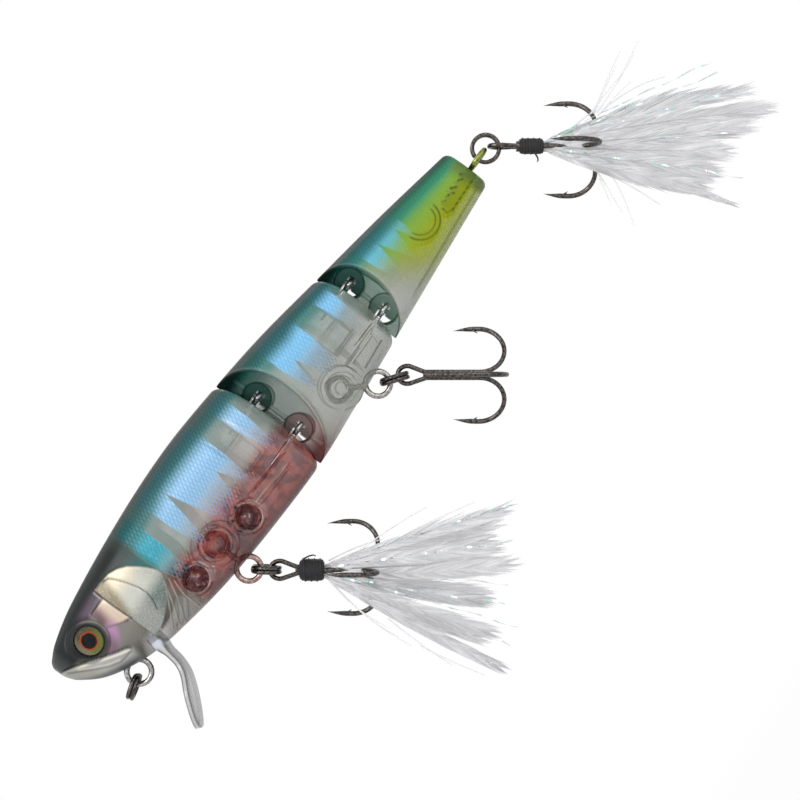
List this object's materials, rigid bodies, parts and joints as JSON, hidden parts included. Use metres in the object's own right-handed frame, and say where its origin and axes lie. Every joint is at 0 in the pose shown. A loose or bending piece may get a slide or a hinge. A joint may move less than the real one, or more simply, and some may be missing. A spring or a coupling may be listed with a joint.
{
  "type": "jointed swimbait",
  "caption": "Jointed fishing lure with a clear diving lip, hollow body sections on upright hinge pins, and treble hooks on split rings, dressed with feathers.",
  "frame": {"origin": "middle of the line-tie eye under the chin", "axes": "+X from the head toward the tail, +Y toward the lure's right side, +Z toward its back"},
  "size_m": [0.1649, 0.0244, 0.0751],
  "materials": {
    "head_plastic": "clear moulded plastic, painted from inside and out",
    "middle_plastic": "clear moulded plastic, painted from inside and out",
    "tail_plastic": "clear moulded plastic, tinted yellow-green",
    "iris": "printed iris disc",
    "eye_clear": "clear domed resin",
    "lip_clear": "clear polycarbonate",
    "bright_wire": "bright stainless wire",
    "tinted_wire": "stainless wire under yellow-green paint",
    "hinge_steel": "bright stainless wire",
    "black_nickel": "dark nickel plate, polished",
    "ballast_steel": "plain steel ball",
    "thread": "black tying thread",
    "feather": "white hackle feathers",
    "tinsel": "pearl film strands"
  },
  "bodies": {
    "head": {"head_shell_left": "head_plastic", "head_shell_right": "head_plastic", "eye_disc_left": "iris", "eye_disc_right": "iris", "eye_lens_left": "eye_clear", "eye_lens_right": "eye_clear", "diving_lip": "lip_clear", "line_tie_eye": "bright_wire", "front_hook_hanger": "bright_wire", "front_hinge_upper_eye": "hinge_steel", "front_hinge_lower_eye": "hinge_steel", "front_ballast_ball": "ballast_steel", "rear_ballast_ball": "ballast_steel"},
    "line_ring": {"line_tie_ring": "black_nickel"},
    "front_ring": {"front_split_ring": "black_nickel"},
    "front_hook": {"front_treble_hook": "black_nickel", "front_thread_wrap": "thread", "front_feathers": "feather", "front_tinsel": "tinsel"},
    "middle": {"middle_shell_left": "middle_plastic", "middle_shell_right": "middle_plastic", "middle_hook_hanger": "bright_wire", "front_hinge_pin": "hinge_steel", "rear_hinge_upper_eye": "hinge_steel", "rear_hinge_lower_eye": "hinge_steel"},
    "middle_ring": {"middle_split_ring": "black_nickel"},
    "middle_hook": {"middle_treble_hook": "black_nickel"},
    "tail": {"tail_shell_left": "tail_plastic", "tail_shell_right": "tail_plastic", "tail_hook_hanger": "tinted_wire", "rear_hinge_pin": "hinge_steel"},
    "tail_ring": {"tail_split_ring": "black_nickel"},
    "tail_hook": {"tail_treble_hook": "black_nickel", "tail_thread_wrap": "thread", "tail_feathers": "feather", "tail_tinsel": "tinsel"}
  },
  "joints": [
    {"name": "front_body_hinge", "type": "hinge", "parent": "head", "child": "middle", "pos_m": [0.0539, 0, 0.00737], "axis": [0, 0, 1], "range_deg": [-32, 32]},
    {"name": "rear_body_hinge", "type": "hinge", "parent": "middle", "child": "tail", "pos_m": [0.0808, 0, 0.00737], "axis": [0, 0, 1], "range_deg": [-32, 32]},
    {"name": "line_ring_swing", "type": "hinge", "parent": "head", "child": "line_ring", "pos_m": [0, 0, 0], "axis": [0, 1, 0], "range_deg": [-70, 40]},
    {"name": "front_ring_swing", "type": "hinge", "parent": "head", "child": "front_ring", "pos_m": [0.0274, 0, -0.00508], "axis": [0, 1, 0], "range_deg": [-10, 60]},
    {"name": "front_hook_sway", "type": "hinge", "parent": "front_ring", "child": "front_hook", "pos_m": [0.02919, 0, -0.00774], "axis": [0.829, 0, 0.5592], "range_deg": [-50, 50]},
    {"name": "middle_ring_swing", "type": "hinge", "parent": "middle", "child": "middle_ring", "pos_m": [0.0691, 0, -0.00404], "axis": [0, 1, 0], "range_deg": [-14, 60]},
    {"name": "middle_hook_sway", "type": "hinge", "parent": "middle_ring", "child": "middle_hook", "pos_m": [0.07166, 0, -0.00596], "axis": [0.6018, 0, 0.7986], "range_deg": [-50, 50]},
    {"name": "tail_ring_swing", "type": "hinge", "parent": "tail", "child": "tail_ring", "pos_m": [0.1135, 0, 0.00567], "axis": [0, 1, 0], "range_deg": [-38, 38]},
    {"name": "tail_hook_sway", "type": "hinge", "parent": "tail_ring", "child": "tail_hook", "pos_m": [0.1178, 0, 0.00393], "axis": [0.6947, 0, 0.7193], "range_deg": [-50, 50]}
  ]
}
